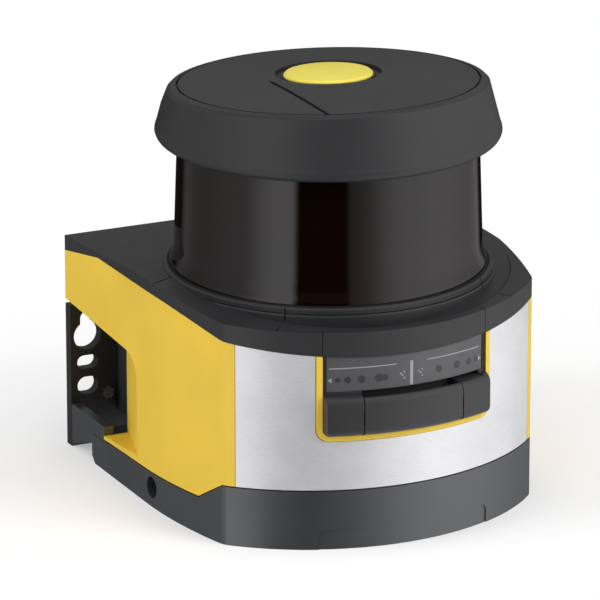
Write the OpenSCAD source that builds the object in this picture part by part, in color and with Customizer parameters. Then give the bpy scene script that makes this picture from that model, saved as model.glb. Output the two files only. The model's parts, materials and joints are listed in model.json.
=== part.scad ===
// Safety laser scanner on its connection unit: a D-shaped housing with a dark optics window,
// a tilted cap, a curved front with an indicator strip, and an L-shaped mounting unit behind it.
// +Z is up, the front faces -Y, and the scanning axis is the Z axis. The object stands on Z = 0.

/* [Body] */
// Width across the straight side walls
body_w = 133; // [126:0.5:140]
// Radius of the curved front, seen from above
front_r = 82.7; // [80:0.1:86]
// Distance of the front radius' centre behind the scanning axis
front_centre_y = 16.5; // [14:0.5:19]
// Radius that draws each side wall in towards the front
side_r = 189; // [170:1:230]
// Where the side walls start to draw in
side_start_y = 9.5; // [5:0.5:14]
// Radius of the two front corners, seen from above
corner_r = 7; // [3:0.5:10]
// Distance of the rear face behind the scanning axis
rear_y = 79.8; // [76:0.2:86]
// Wall of the scanner housing
wall = 4; // [3:0.5:5]

/* [Base] */
// Height of the base below the front panel
base_front_h = 21.75; // [19:0.25:24]
// Height of the base where the sides start to rise
base_side_h = 14; // [12:0.25:16]
// Height of the base at the rear end of the sill
base_rear_h = 11.9; // [11:0.1:13]
// Where the base's top edge reaches its full height
step_front_y = -40.1; // [-42:0.5:-38]
// Where the base's top edge starts to step up
step_rear_y = -27.2; // [-30:0.5:-22]
// Rear end of the base block
base_rear_y = 57.2; // [55:0.2:60]
// Chamfer at the rear end of the base block
base_chamfer = 2.6; // [1:0.1:4]
// Diameter of the hole in each side of the base
side_hole_d = 7.8; // [6:0.1:8.5]
// Depth of the hole in each side of the base
side_hole_depth = 9; // [6:0.5:12]
// Height of the side holes
side_hole_z = 7.2; // [6.5:0.1:7.5]
// Distance of the side holes behind the scanning axis
side_hole_y = 4.7; // [0:0.1:8]
// Height of the shallow recess along the lower front edge
toe_h = 7.3; // [5:0.1:9]
// Depth of that recess
toe_depth = 0.4; // [0.3:0.1:1.5]
// Height of the shadow gap along the base's top edge
rebate_h = 0.5; // [0.3:0.1:1]
// Depth of the shadow gap along the base's top edge
rebate_w = 1; // [0.6:0.1:2]
// Radius of the recess's upper corners
toe_r = 3; // [1:0.5:5]

/* [Connection unit] */
// Thickness of the rear plate
plate_t = 4.2; // [3:0.1:6]
// Height of the wide part of the rear plate
plate_wide_h = 53.5; // [50:0.5:54]
// Distance of the rear plate's top below the cover's rear edge
plate_drop = 2.9; // [2.4:0.1:7]
// Height of the low side flanges
flange_h = 16.2; // [15:0.1:18]
// Thickness of the side flanges
flange_t = 4; // [3:0.5:6]
// Distance of the plate's holes from its side edges
hole_edge = 6.6; // [6.2:0.1:9]
// Diameter of the keyholes' heads
key_head_d = 10.5; // [9:0.1:11]
// Width of the keyholes' slots
key_slot_w = 5.4; // [4.5:0.1:6.5]
// Height of the keyholes' heads
key_z = 41.3; // [39:0.1:43]
// Rise from the keyhole's head to the end of its slot
key_rise = 6.6; // [6:0.1:8]
// Length of the oblong slots
slot_l = 8.1; // [7:0.1:9]
// Width of the upper oblong slots
upper_slot_w = 5.1; // [4.5:0.1:5.5]
// Height of the upper oblong slots
upper_slot_z = 31.3; // [30:0.1:32]
// Width of the lower oblong slots
lower_slot_w = 6.6; // [5:0.1:6.8]
// Height of the lower oblong slots
lower_slot_z = 22.4; // [21:0.1:23]
// Distance of the wiring box's sides from the side walls
wiring_inset = 18.5; // [16.5:0.5:26]
// Distance of the wiring box's top below the rear plate's top
wiring_drop = 4.5; // [3:0.5:10]
// Wall of the wiring box
wiring_wall = 3; // [2:0.5:4]

/* [Side cut-outs] */
// Front edge of the cut-outs, on the outer side
cut_front_y = 16.8; // [14:0.2:20]
// Depth of the cut-outs' slanted wall at its rear end
cut_depth = 11; // [8:0.5:12]
// Rear face of the housing below the arms
housing_rear_y = 50.4; // [49:0.2:52]
// Rear end of the yellow sill on the outer side
sill_rear_y = 46.3; // [45:0.1:48]
// Height of the sill at the cut-outs' front edge
sill_front_h = 15.3; // [15:0.1:17]
// Height of the sill at its rear end
sill_rear_h = 13.1; // [12.5:0.1:14]
// Height of the arms' lower edge at the front
arm_front_h = 51.3; // [50:0.1:53]
// Height of the arms' lower edge at the rear
arm_rear_h = 55.2; // [54.5:0.1:57]
// Radius between the arms and the cut-outs' front edge
cut_r = 8; // [4:0.5:10]
// Thickness of the arms beside the rear plate
arm_t = 4; // [3:0.5:5]

/* [Top cover] */
// Height of the cover's lower edge along the sides
cover_low_h = 78.8; // [78:0.1:80]
// Drop of the cover's lower edge at the rear
cover_rear_drop = 5.4; // [4:0.1:6]
// Where the lower edge starts to drop towards the rear
cover_low_rear_y = 50; // [45:1:55]
// Where the lower edge starts to drop towards the front
cover_low_front_y = 5; // [0:1:10]
// Where the drop towards the front becomes straight
cover_straight_y = -33.5; // [-38:0.5:-28]
// Radius of the drop towards the front
cover_drop_r = 200; // [180:1:240]
// Rise of the cover's top around the window above its lower edge
cover_t = 4.3; // [4:0.1:5]
// Drop of the cover's top at the rear edge
top_rear_drop = 4.1; // [3:0.1:5]
// Drop of the cover's top at the front edge
top_front_drop = 5.2; // [4:0.1:6]
// Where the cover's top starts to drop towards the rear
cover_back_y = 18; // [12:1:24]
// Where the cover's top starts to drop towards the front
cover_crease_y = -4; // [-8:0.5:0]
// Radius of the crescent recess around the collar
crescent_r = 64.2; // [62:0.1:65]
// Y at which the crescent recess runs out into the cover's top
crescent_end_y = -15; // [-25:1:-10]
// Depth of the crescent recess at the front
crescent_depth = 2.1; // [1:0.1:2.4]
// Radius of the collar under the window
collar_r = 58.4; // [57.5:0.1:60]
// Rise of the collar's top above the cover's top
collar_rise = 0.9; // [0.7:0.1:1.5]

/* [Front] */
// Half angle of the silver panel
panel_angle = 43.2; // [40:0.1:43.8]
// Thickness of the silver panel
panel_t = 1; // [0.6:0.1:1.5]
// Half width of the panel's opening
opening_half_w = 33.4; // [32:0.1:35]
// Width of the yellow rim inside the panel's opening
rim_w = 2.1; // [1.5:0.1:2.3]
// How far the rim stands out from the panel
rim_out = 0.4; // [0.2:0.1:0.8]
// Distance of the indicator strip's lower edge below the cover's edge at the sides
strip_drop = 21.8; // [20:0.1:22]
// Height of the lower block
block_h = 14.2; // [13.9:0.1:14.4]
// Gap between the indicator strip and the lower block
strip_gap = 1.2; // [0.8:0.1:2]
// Gap between the lower block and the rim below it
block_gap = 0.3; // [0.2:0.1:0.6]
// How far the lower block stands out from the panel
block_out = 3.8; // [3:0.1:4.5]
// Half angle of the flap between the block's ends
flap_angle = 12.5; // [11:0.1:13.5]
// Half angle of the fascia's insert above the indicator strip
insert_angle = 22.2; // [21:0.1:23]
// Thickness of the flap
flap_t = 2.1; // [1.8:0.1:2.5]
// Radius along the lower block's long edges
block_edge_r = 3; // [2.9:0.1:3.4]
// Half angle of the groove above the lower block, on the right side
groove_angle = 20; // [14:0.5:20.5]
// Diameter of the flap's hinge pin
pin_d = 1.6; // [1.4:0.1:1.8]
// Radial clearance of the hinge pin in the flap
pin_gap = 0.06; // [0.03:0.01:0.1]
// Height of the flap's hinge axis above the lower block's lower edge
pin_rise = 3.6; // [3.5:0.1:3.8]
// How far the flap's hinge axis lies in front of the panel
pin_out = 0.3; // [0.2:0.1:0.5]
// Gap between parts that move or drop in beside each other
gap = 0.3; // [0.2:0.05:0.5]

/* [Window and cap] */
// Outer radius of the window at its top
window_top_r = 52.8; // [52:0.1:53.4]
// Outer radius of the window above its foot
window_low_r = 54.4; // [53.6:0.1:54.8]
// Outer radius of the window's flared foot
window_foot_r = 55.8; // [55:0.1:56.2]
// Wall of the window
window_t = 2.6; // [2:0.1:3]
// Visible height of the window between the collar and the cap's lower edge
window_h = 44.7; // [42:0.1:48]
// Radius of the cap's lower edge
cap_low_r = 55; // [54.5:0.1:56]
// Largest radius of the cap
cap_r = 60.7; // [60:0.1:62]
// Radius of the cap where its flank meets the top
cap_top_r = 56.3; // [56:0.1:57.5]
// Height of the cap's flank, up to the middle of its rim
cap_flank_h = 19.7; // [18.5:0.1:22]
// Tilt of the cap's top, higher at the front
cap_tilt = 3.2; // [2:0.1:4]
// Rise of the cap's shallow cone
cap_rise = 3.2; // [2:0.1:4]
// Radius of the groove along the cap's rim
rim_groove_r = 52.4; // [51:0.1:53]
// Radius of the groove around the yellow disc, which the straight groove touches
disc_groove_r = 22.4; // [21:0.1:24]
// Width and depth of the grooves in the cap
groove_w = 0.8; // [0.6:0.1:1.2]
// Radius of the yellow disc
disc_r = 15.6; // [14:0.1:17]
// Radius of the dark chamfer around the yellow disc
disc_seat_r = 18.8; // [18:0.1:20]
// Wall of the cap
cap_wall = 3; // [2.5:0.1:4]

/* [Optics] */
// Drop of the scanning plane below the cap's lower edge
scan_drop = 24.7; // [22.5:0.1:26]
// Radius of the mirror's carrier
carrier_r = 16; // [13:0.5:16.5]
// Thickness of the mirror
mirror_t = 2; // [1.5:0.1:3]
// Radius of the receiving lens
lens_r = 22; // [20:0.5:24]
// Radius of the emitter's tube
emitter_r = 5; // [4:0.1:6]
// Radius of the rotor's shaft
shaft_r = 2; // [1.5:0.1:2.5]
// Radius of the motor's stator
stator_r = 15; // [12:0.5:17]
// Drop of the chassis plate's top below the cover's lower edge
chassis_drop = 6.8; // [6:0.2:10]
// Thickness of the chassis plate
chassis_t = 4; // [3:0.5:5]

/* [Electronics] */
// Thickness of every circuit board
board_t = 1.6; // [1:0.1:2]
// Height of the main board's underside
main_board_h = 33; // [31:0.5:36]
// Radius of the screw threads that hold the scanner on its connection unit
unit_screw_r = 2.5; // [2:0.1:3]
// Radius of the screws that hold the chassis
chassis_screw_r = 1.5; // [1.2:0.1:2]

/* [Hidden] */
$fn = 96;
half_w = body_w / 2;
eps = 0.01;
far = 200;
front_y = front_centre_y - front_r;
plate_y = rear_y - plate_t;
pin_y = front_y - pin_out;
block_r = front_r + block_out;
wiring_half_w = half_w - wiring_inset;
cover_low_rear_h = cover_low_h - cover_rear_drop;
plate_h = cover_low_rear_h - plate_drop;
wiring_h = plate_h - wiring_drop;
strip_z = cover_low_h - strip_drop;
block_top_z = strip_z - strip_gap;
block_z = block_top_z - block_h;
opening_z = block_z - block_gap - rim_w;
pin_z = block_z + pin_rise;
cover_h = cover_low_h + cover_t;
cover_rear_h = cover_h - top_rear_drop;
cover_front_h = cover_h - top_front_drop;
collar_h = cover_h + collar_rise;
cap_low_h = collar_h + window_h;
cap_rim_h = cap_low_h + cap_flank_h;
scan_h = cap_low_h - scan_drop;
chassis_h = cover_low_h - chassis_drop;
cover_straight_z = cover_low_h
    - pow(cover_low_front_y - cover_straight_y, 2) / (2 * cover_drop_r);
cover_slope = (cover_low_front_y - cover_straight_y) / cover_drop_r;
cavity_half_w = half_w - cut_depth - wall + 0.5;
cavity_z = base_front_h + 3.25;
boss_x = cavity_half_w - 5;
boss_front_y = -32;
boss_rear_y = 38;
hole_x = half_w - hole_edge;

// ---- shared geometry -------------------------------------------------------------------------

// The crossing point of two circles on the left of the way from a to b.
function crossing(a, ra, b, rb) =
    let (d = norm(b - a), u = (b - a) / d, x = (ra * ra - rb * rb + d * d) / (2 * d))
    a + u * x + [-u.y, u.x] * sqrt(ra * ra - x * x);

// The cover's lower edge as [y, z] points from the front to the rear, shared with all below it.
function cover_low_edge() = concat(
    [[front_y - 5, cover_straight_z - cover_slope * (cover_straight_y - front_y + 5)]],
    [for (i = [0 : 6])
        let (y = cover_straight_y + (cover_low_front_y - cover_straight_y) * i / 6)
        [y, cover_low_h - pow(cover_low_front_y - y, 2) / (2 * cover_drop_r)]],
    [[cover_low_rear_y, cover_low_h], [rear_y, cover_low_rear_h],
     [rear_y + 5, cover_low_rear_h]]);

// The cover's upper edge as [y, z] points from the rear to the front.
function cover_top_edge(drop = 0) = [
    [rear_y + 5, cover_rear_h - drop], [rear_y, cover_rear_h - drop],
    [cover_back_y, cover_h - drop], [cover_crease_y, cover_h - drop],
    [front_y, cover_front_h - drop], [front_y - 5, cover_front_h - drop]
];

// The base's top edge as [y, z] points from the front to the rear, shared with the housing.
base_top_edge = [
    [front_y - 5, base_front_h], [step_front_y, base_front_h], [step_rear_y, base_side_h],
    [sill_rear_y, base_rear_h], [housing_rear_y, base_rear_h]
];

// One rounded front corner: what lies outside the corner radius.
module corner_waste(o) {
    side_c = [side_r - half_w, side_start_y];
    front_c = [0, front_centre_y];
    c = crossing(side_c, side_r - o - corner_r, front_c, front_r - o - corner_r);
    tip = crossing(side_c, side_r - o, front_c, front_r - o);
    to_side = (c - side_c) / norm(c - side_c);
    to_front = (c - front_c) / norm(c - front_c);
    difference() {
        polygon([c, c + to_side * corner_r, tip + (tip - c), c + to_front * corner_r]);
        translate(c) circle(corner_r);
    }
}

// The D-shaped outline seen from above, drawn in by o all round.
module outline(o = 0) {
    difference() {
        union() {
            translate([-half_w + o, side_start_y - eps])
                square([body_w - 2 * o, rear_y - o - side_start_y + eps]);
            intersection() {
                translate([0, front_centre_y]) circle(front_r - o, $fn = 180);
                translate([side_r - half_w, side_start_y]) circle(side_r - o, $fn = 240);
                translate([half_w - side_r, side_start_y]) circle(side_r - o, $fn = 240);
                translate([-half_w, front_y - 1]) square([body_w, side_start_y - front_y + 1]);
            }
        }
        corner_waste(o);
        mirror([1, 0]) corner_waste(o);
    }
}

// A shape drawn in the side view, [y, z], as a bar along X.
module side_bar(x0 = -far / 2, x1 = far / 2) {
    translate([x0, 0, 0]) rotate([90, 0, 90]) linear_extrude(x1 - x0) children();
}

// A shape drawn in the front view, [x, z], as a bar along Y.
module front_bar(y0, y1) {
    translate([0, y1, 0]) rotate([90, 0, 0]) linear_extrude(y1 - y0) children();
}

// A ring segment about the front radius' centre, over angles a0 to a1 from straight ahead.
module front_arc(a0, a1) {
    translate([0, front_centre_y, 0]) rotate([0, 0, a0 - 90]) rotate_extrude(angle = a1 - a0)
        children();
}

// A rectangle with rounded lower corners.
module round_foot(half, z0, z1, r) {
    difference() {
        translate([-half, z0]) square([2 * half, z1 - z0]);
        for (s = [-1, 1])
            scale([s, 1]) difference() {
                translate([half - r, z0 - 1]) square([r + 1, r + 1]);
                translate([half - r, z0 + r]) circle(r, $fn = 48);
            }
    }
}

// Everything under the cover's lower edge.
module below_cover(x = far / 2) {
    side_bar(-x, x) polygon(concat(cover_low_edge(), [[rear_y + 5, -5], [front_y - 5, -5]]));
}

// The same places on both sides of the middle plane.
module both_sides() {
    children();
    mirror([1, 0, 0]) children();
}

// The four bosses' places, which carry the chassis.
module at_bosses() {
    for (x = [-boss_x, boss_x])
        for (y = [boss_front_y, boss_rear_y])
            translate([x, y, 0]) children();
}

// The four screws' places between scanner and connection unit.
unit_screw_x = cavity_half_w - 16;
module at_unit_screws() {
    for (x = [-unit_screw_x, unit_screw_x])
        for (y = [boss_front_y, boss_rear_y])
            translate([x, y, 0]) children();
}

// ---- connection unit -------------------------------------------------------------------------

head_r = unit_screw_r * 1.8;
head_h = unit_screw_r * 2;
base_deck = 8;

module keyhole() {
    circle(key_head_d / 2);
    translate([-key_slot_w / 2, 0]) square([key_slot_w, key_rise]);
    translate([0, key_rise]) circle(key_slot_w / 2);
}

module oblong(l, w) {
    square([l - w, w], center = true);
    for (s = [-1, 1])
        translate([s * (l - w) / 2, 0]) circle(w / 2);
}

module plate_holes() {
    for (s = [-1, 1]) {
        translate([s * hole_x, key_z]) keyhole();
        translate([s * hole_x, upper_slot_z]) oblong(slot_l, upper_slot_w);
        translate([s * hole_x, lower_slot_z]) oblong(slot_l, lower_slot_w);
    }
}

socket_x = 18;
socket_y = (base_rear_y + plate_y) / 2;
socket_r = 7;
wiring_z = 11;
seal_t = 1;
seal_w = 2.6;
box_y = housing_rear_y + seal_t;

// The shadow gap along the base's outer top edge, up to the sill's rear end.
module seam_rebate() {
    intersection() {
        linear_extrude(base_front_h + 1) difference() {
            translate([-far / 2, sill_rear_y - 2 - far]) square(far);
            outline(rebate_w);
        }
        side_bar() polygon(concat(
            [for (p = base_top_edge) p + [0, 1]],
            [for (i = [len(base_top_edge) - 1 : -1 : 0]) base_top_edge[i] - [0, rebate_h]]));
    }
}

module connection_unit() {
    color([0.22, 0.22, 0.24]) difference() {
        // base block under the scanner
        intersection() {
            linear_extrude(base_front_h) outline();
            side_bar() polygon(concat(base_top_edge, [
                [base_rear_y, base_rear_h], [base_rear_y, base_chamfer],
                [base_rear_y - base_chamfer, 0], [front_y - 5, 0]
            ]));
        }
        // the flanges' places beside the block's rear end
        both_sides() flange();
        // trough for the wires in the base
        translate([-trough_half, -trough_half, base_deck])
            cube([2 * trough_half, 2 * trough_half, base_front_h]);
        seam_rebate();
        // recess along the lower front edge
        difference() {
            front_bar(front_y - 1, front_y + 20) translate([0, toe_h]) mirror([0, 1])
                round_foot(toe_half_w, 0, toe_h + 1, toe_r);
            translate([0, front_centre_y, -1])
                cylinder(r = front_r - toe_depth, h = toe_h + 2, $fn = 180);
        }
        // side holes
        both_sides() translate([half_w + 1, side_hole_y, side_hole_z]) rotate([0, -90, 0])
            cylinder(d = side_hole_d, h = side_hole_depth + 1);
        // counterbored screw holes
        at_unit_screws() {
            translate([0, 0, -1]) cylinder(r = unit_screw_r + 0.25, h = base_front_h + 2);
            translate([0, 0, -1]) cylinder(r = head_r + gap, h = head_h + 1.5);
        }
    }
}

// One low flange that carries on from the base to the rear plate, arched underneath.
module flange() {
    side_bar(half_w - flange_t, half_w) polygon([
        [sill_rear_y + gap, base_rear_h - 1], [sill_rear_y + gap, flange_h],
        [plate_y, flange_h], [plate_y, 0.6],
        [base_rear_y, base_side_h / 2], [base_rear_y - 1, base_rear_h - 1]
    ]);
}

module side_flanges() {
    color([0.22, 0.22, 0.24]) both_sides() flange();
}

// Rear plate, wide below and narrow between the housing's arms.
module rear_plate() {
    color([0.13, 0.13, 0.15]) difference() {
        front_bar(plate_y, rear_y) difference() {
            union() {
                translate([-half_w, 0]) square([body_w, plate_wide_h]);
                translate([-half_w + arm_t + gap, 0])
                    square([body_w - 2 * (arm_t + gap), plate_h]);
            }
            plate_holes();
        }
        // blind holes of the earth screws
        for (s = [-1, 1])
            translate([s * earth_x, plate_y - 1, earth_z]) rotate([-90, 0, 0])
                cylinder(r = earth_r, h = earth_l + 1);
    }
}

// Box for the wiring between the plate and the scanner, open towards the scanner.
module wiring_box() {
    color([0.22, 0.22, 0.24]) difference() {
        translate([-wiring_half_w, box_y, wiring_z])
            cube([2 * wiring_half_w, plate_y - box_y, wiring_h - wiring_z]);
        translate([-wiring_half_w + wiring_wall, box_y - 1, wiring_z + wiring_wall])
            cube([2 * (wiring_half_w - wiring_wall), plate_y - wiring_wall - box_y + 1,
                  wiring_h - wiring_z - 2 * wiring_wall]);
        // what lies over the base's rear end
        translate([-half_w, box_y - 1, wiring_z - 1])
            cube([body_w, base_rear_y - box_y + 1, base_rear_h - wiring_z + 1]);
        // holes of the connectors in the floor
        for (s = [-1, 1])
            translate([s * socket_x, socket_y, wiring_z - 1])
                cylinder(r = socket_r - 1.5, h = wiring_wall + 2);
    }
}

trough_half = 30;
toe_half_w = opening_half_w - 1;
earth_x = half_w - hole_edge - slot_l / 2 - 3.4;
earth_z = lower_slot_z - 3.5;
earth_r = 1.5;
earth_l = plate_t - 1.4;

module earth_screws() {
    color([0.75, 0.75, 0.77]) for (s = [-1, 1])
        translate([s * earth_x, plate_y, earth_z]) rotate([90, 0, 0]) difference() {
            union() {
                cylinder(r = 2.2, h = 1.6);
                translate([0, 0, -earth_l]) cylinder(r = earth_r, h = earth_l);
            }
            translate([-3, -0.35, 0.8]) cube([6, 0.7, 2]);
            translate([-0.35, -3, 0.8]) cube([0.7, 6, 2]);
        }
}

socket_low_z = 1.5;
socket_nut_h = 3;
contact_circle_r = 2.2;
contact_r = 0.5;

// Two round sockets that face down, each with a nut and four contacts.
module connector_sockets() {
    color([0.6, 0.58, 0.5]) for (s = [-1, 1])
        translate([s * socket_x, socket_y, 0]) difference() {
            union() {
                translate([0, 0, socket_low_z])
                    cylinder(r = socket_r - 1, h = wiring_z - socket_low_z);
                translate([0, 0, wiring_z - socket_nut_h])
                    cylinder(r = socket_r + 1, h = socket_nut_h, $fn = 6);
                translate([0, 0, wiring_z - eps])
                    cylinder(r = socket_r - 1.5, h = wiring_wall + 4);
            }
            difference() {
                cylinder(r = socket_r - 2.4, h = wiring_z - 3);
                for (a = [45 : 90 : 315])
                    rotate([0, 0, a]) translate([contact_circle_r, 0, 2 * socket_low_z])
                        cylinder(r = contact_r, h = wiring_z);
            }
        }
}

foot_l = 4;
connection_board_y = plate_y - wiring_wall - foot_l - board_t;

// Board on four feet on the wiring box's rear wall.
module connection_board() {
    half = wiring_half_w - wiring_wall - 9;
    z0 = wiring_z + 12;
    z1 = wiring_h - wiring_wall - 2;
    color([0.1, 0.35, 0.2]) {
        translate([-half, connection_board_y, z0]) cube([2 * half, board_t, z1 - z0]);
        for (x = [-half + foot_l, half - foot_l])
            for (z = [z0 + foot_l, z1 - foot_l])
                translate([x, connection_board_y + board_t, z]) rotate([-90, 0, 0])
                    cylinder(r = 2.5, h = foot_l);
    }
}

link_half_w = 18;
link_h = 9;
link_z = 38;
link_front_y = housing_rear_y - wall - 3;

module link_plug() {
    color([0.15, 0.15, 0.16]) translate([-link_half_w, link_front_y, link_z])
        cube([2 * link_half_w, connection_board_y - link_front_y, link_h]);
}

module unit_screws() {
    color([0.7, 0.7, 0.72]) at_unit_screws() difference() {
        union() {
            translate([0, 0, 0.5]) cylinder(r = head_r, h = head_h);
            translate([0, 0, head_h]) cylinder(r = unit_screw_r, h = cavity_z + 4 - head_h);
        }
        translate([0, 0, -1]) cylinder(r = unit_screw_r * 0.9, h = 1.5 + unit_screw_r, $fn = 6);
    }
}

// ---- scanner housing -------------------------------------------------------------------------

// The side view of a cut-out, from the sill up to the arm, open to the rear.
module cut_profile() {
    slope = (arm_rear_h - arm_front_h) / (rear_y - cut_front_y);
    difference() {
        polygon([
            [cut_front_y, sill_front_h], [sill_rear_y, sill_rear_h], [sill_rear_y, 0],
            [rear_y + 5, 0], [rear_y + 5, arm_rear_h], [rear_y, arm_rear_h],
            [cut_front_y + cut_r, arm_front_h + slope * cut_r], [cut_front_y, arm_front_h]
        ]);
        difference() {
            translate([cut_front_y - 1, arm_front_h - cut_r]) square([cut_r + 1, cut_r + 2]);
            translate([cut_front_y + cut_r, arm_front_h - cut_r]) circle(cut_r);
        }
    }
}

// What the cut-outs leave clear, seen from above: outside the slanted wall, then all behind.
module cut_plan() {
    for (s = [-1, 1])
        polygon([
            [s * half_w, cut_front_y], [s * (half_w - cut_depth), housing_rear_y],
            [s * (half_w + 10), housing_rear_y], [s * (half_w + 10), cut_front_y]
        ]);
    translate([-half_w - 10, housing_rear_y]) square([body_w + 20, rear_y]);
}

module housing() {
    color([0.85, 0.72, 0.2]) difference() {
        union() {
            intersection() {
                linear_extrude(cover_h) outline();
                side_bar() polygon(concat(
                    cover_low_edge(),
                    [[rear_y + 5, base_rear_h], [housing_rear_y, base_rear_h]],
                    [for (i = [len(base_top_edge) - 2 : -1 : 0]) base_top_edge[i]]));
            }
            // rim around the opening of the front panel
            intersection() {
                front_arc(-30, 30) translate([front_r - 2, opening_z])
                    square([2 + rim_out, cover_h]);
                front_bar(front_y - 5, front_y + 20)
                    round_foot(opening_half_w - gap, opening_z + gap, cover_h, 4);
                below_cover();
            }
        }
        // side cut-outs and the space behind the housing
        intersection() {
            side_bar() cut_profile();
            linear_extrude(cover_h) cut_plan();
        }
        // room for the wiring box and the narrow part of the rear plate
        translate([-half_w + arm_t, housing_rear_y, base_rear_h])
            cube([body_w - 2 * arm_t, rear_y, plate_h + 1 - base_rear_h]);
        // seat of the silver panel
        difference() {
            front_arc(-panel_angle, panel_angle) translate([front_r - panel_t, base_front_h - 1])
                square([10, far]);
            front_bar(front_y - 5, front_y + 40)
                round_foot(opening_half_w - gap, opening_z + gap, far, 4);
        }
        // inside of the housing
        intersection() {
            translate([0, 0, cavity_z]) linear_extrude(far) outline(wall + panel_t);
            translate([-cavity_half_w, front_y, cavity_z])
                cube([2 * cavity_half_w, housing_rear_y - wall - front_y, far]);
        }
        // opening for the display
        front_bar(front_y - 5, front_y + 20)
            round_foot(opening_half_w - rim_w, opening_z + rim_w, far, 2.5);
        // slot for the plug into the connection unit
        translate([-link_half_w - 0.2, housing_rear_y - wall - 1, link_z - 0.2])
            cube([2 * link_half_w + 0.4, wall + 3, link_h + 0.4]);
        // threaded holes for the screws from below
        at_unit_screws() cylinder(r = unit_screw_r, h = cavity_z + 1);
    }
    color([0.85, 0.72, 0.2]) at_bosses() difference() {
        translate([0, 0, cavity_z - eps])
            cylinder(r = 4, h = chassis_h - chassis_t - cavity_z + eps);
        translate([0, 0, chassis_h - chassis_t - 12]) cylinder(r = chassis_screw_r, h = 13);
    }
}

// Flat seal between the housing's rear wall and the wiring box.
module link_seal() {
    z0 = base_rear_h + 0.2;
    h = wiring_h - z0;
    color([0.08, 0.08, 0.09]) translate([0, 0, z0]) front_bar(housing_rear_y, box_y)
        difference() {
            translate([-wiring_half_w, 0]) square([2 * wiring_half_w, h]);
            translate([-wiring_half_w + seal_w, seal_w])
                square([2 * (wiring_half_w - seal_w), h - 2 * seal_w]);
        }
}

module front_panel() {
    color([0.82, 0.82, 0.84]) difference() {
        intersection() {
            front_arc(-panel_angle + 0.15, panel_angle - 0.15)
                translate([front_r - panel_t, base_front_h]) square([panel_t, cover_h]);
            below_cover();
        }
        front_bar(front_y - 5, front_y + 40) round_foot(opening_half_w, opening_z, far, 4.3);
    }
}

// ---- display and flap ------------------------------------------------------------------------

bezel_half_w = opening_half_w - rim_w - 0.1;
bezel_z = opening_z + rim_w + 0.1;
bezel_back_r = front_r - 9;

// The section of the lower block, [radius, z], convex towards the front.
module block_section(inner, shrink = 0) {
    r = block_edge_r;
    h = block_top_z - block_z;
    intersection() {
        translate([inner, block_z + shrink])
            square([block_r - shrink - inner, h - 2 * shrink]);
        union() {
            translate([inner, block_z + r]) square([block_r - inner, h - 2 * r]);
            translate([inner, block_z]) square([block_r - r - inner, h]);
            for (z = [block_z + r, block_top_z - r])
                translate([block_r - r, z]) circle(r, $fn = 48);
        }
    }
}

module display_bezel() {
    color([0.16, 0.16, 0.18]) difference() {
        union() {
            intersection() {
                front_arc(-30, 30) translate([bezel_back_r, bezel_z])
                    square([front_r - 0.4 - bezel_back_r, cover_h]);
                front_bar(front_y - 5, front_y + 40)
                    round_foot(bezel_half_w, bezel_z, far, 2.4);
                below_cover();
            }
            intersection() {
                front_arc(-22.6, 22.6) block_section(bezel_back_r + 1);
                front_bar(front_y - 8, front_y + 40)
                    round_foot(bezel_half_w, bezel_z, block_top_z, 2.4);
            }
        }
        // pocket behind the flap
        front_arc(-flap_angle - 0.2, flap_angle + 0.2)
            translate([front_r - 4.5, bezel_z - 1]) square([12, strip_z + 0.5 - bezel_z + 1]);
        // groove above the block
        front_arc(0, groove_angle) translate([front_r - 4, block_top_z - 0.3])
            square([12, strip_z + 0.3 - block_top_z + 0.3]);
        // room for the flap's lower edge, which swings inwards
        translate([-swing_half_w, pin_y, pin_z]) rotate([0, 90, 0])
            cylinder(r = swing_r, h = 2 * swing_half_w);
        // seat of the indicator lens
        front_arc(-21.4, 21.4) translate([front_r - 2.2, strip_z]) square([5, 30]);
        // room for the lamps
        front_arc(-20.6, 20.6) translate([bezel_back_r - 1, strip_z + 1.5]) square([12, 9.5]);
        // hole of the service socket
        translate([-service_w / 2 - 0.2, front_y - 1, service_z - 0.2])
            cube([service_w + 0.4, 30, service_h + 0.4]);
        // seats of the hinge pin
        translate([-pin_half_l, pin_y, pin_z]) rotate([0, 90, 0])
            cylinder(d = pin_d, h = 2 * pin_half_l);
    }
}

service_w = 12;
service_h = 5;
service_z = block_z + 5.6;
service_wall = 1;
pin_half_l = block_r * sin(flap_angle) + 1.3;
swing_half_w = block_r * sin(flap_angle + 0.2) + 0.15;
swing_r = norm([block_out - pin_out, pin_z - block_z]) + gap;

module indicator_lens() {
    color([0.25, 0.25, 0.27]) intersection() {
        front_arc(-21.2, 21.2) translate([front_r - 2.2, strip_z + 0.1]) square([1.6, 30]);
        below_cover();
    }
}

module indicator_board() {
    color([0.1, 0.35, 0.2]) intersection() {
        front_arc(-19, 19) translate([bezel_back_r - board_t - 0.1, strip_z - 4])
            square([board_t, 16]);
        below_cover();
    }
}

lamp_angles = [-18.5, -16.1, -12.7, -7.8, -1.9, 1.9, 7.8, 12.7, 16.1, 18.5];

module indicator_lamps() {
    color([0.8, 0.8, 0.75]) for (a = lamp_angles)
        translate([0, front_centre_y, strip_z + 5]) rotate([0, 0, a]) rotate([90, 0, 0])
            translate([0, 0, bezel_back_r - 0.1]) cylinder(r = 1, h = 6.3);
}

module service_socket() {
    color([0.7, 0.7, 0.7]) difference() {
        translate([-service_w / 2, front_y + 5, service_z]) cube([service_w, 6.5, service_h]);
        translate([-service_w / 2 + 1.5 * service_wall, front_y + 4, service_z + service_wall])
            cube([service_w - 3 * service_wall, 5.5, service_h - 2 * service_wall]);
    }
}

module flap_pin() {
    color([0.7, 0.7, 0.72]) translate([-pin_half_l, pin_y, pin_z]) rotate([0, 90, 0])
        cylinder(d = pin_d, h = 2 * pin_half_l);
}

knuckle_x = 12;
knuckle_l = 4;
knuckle_r = 2.2;

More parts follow.
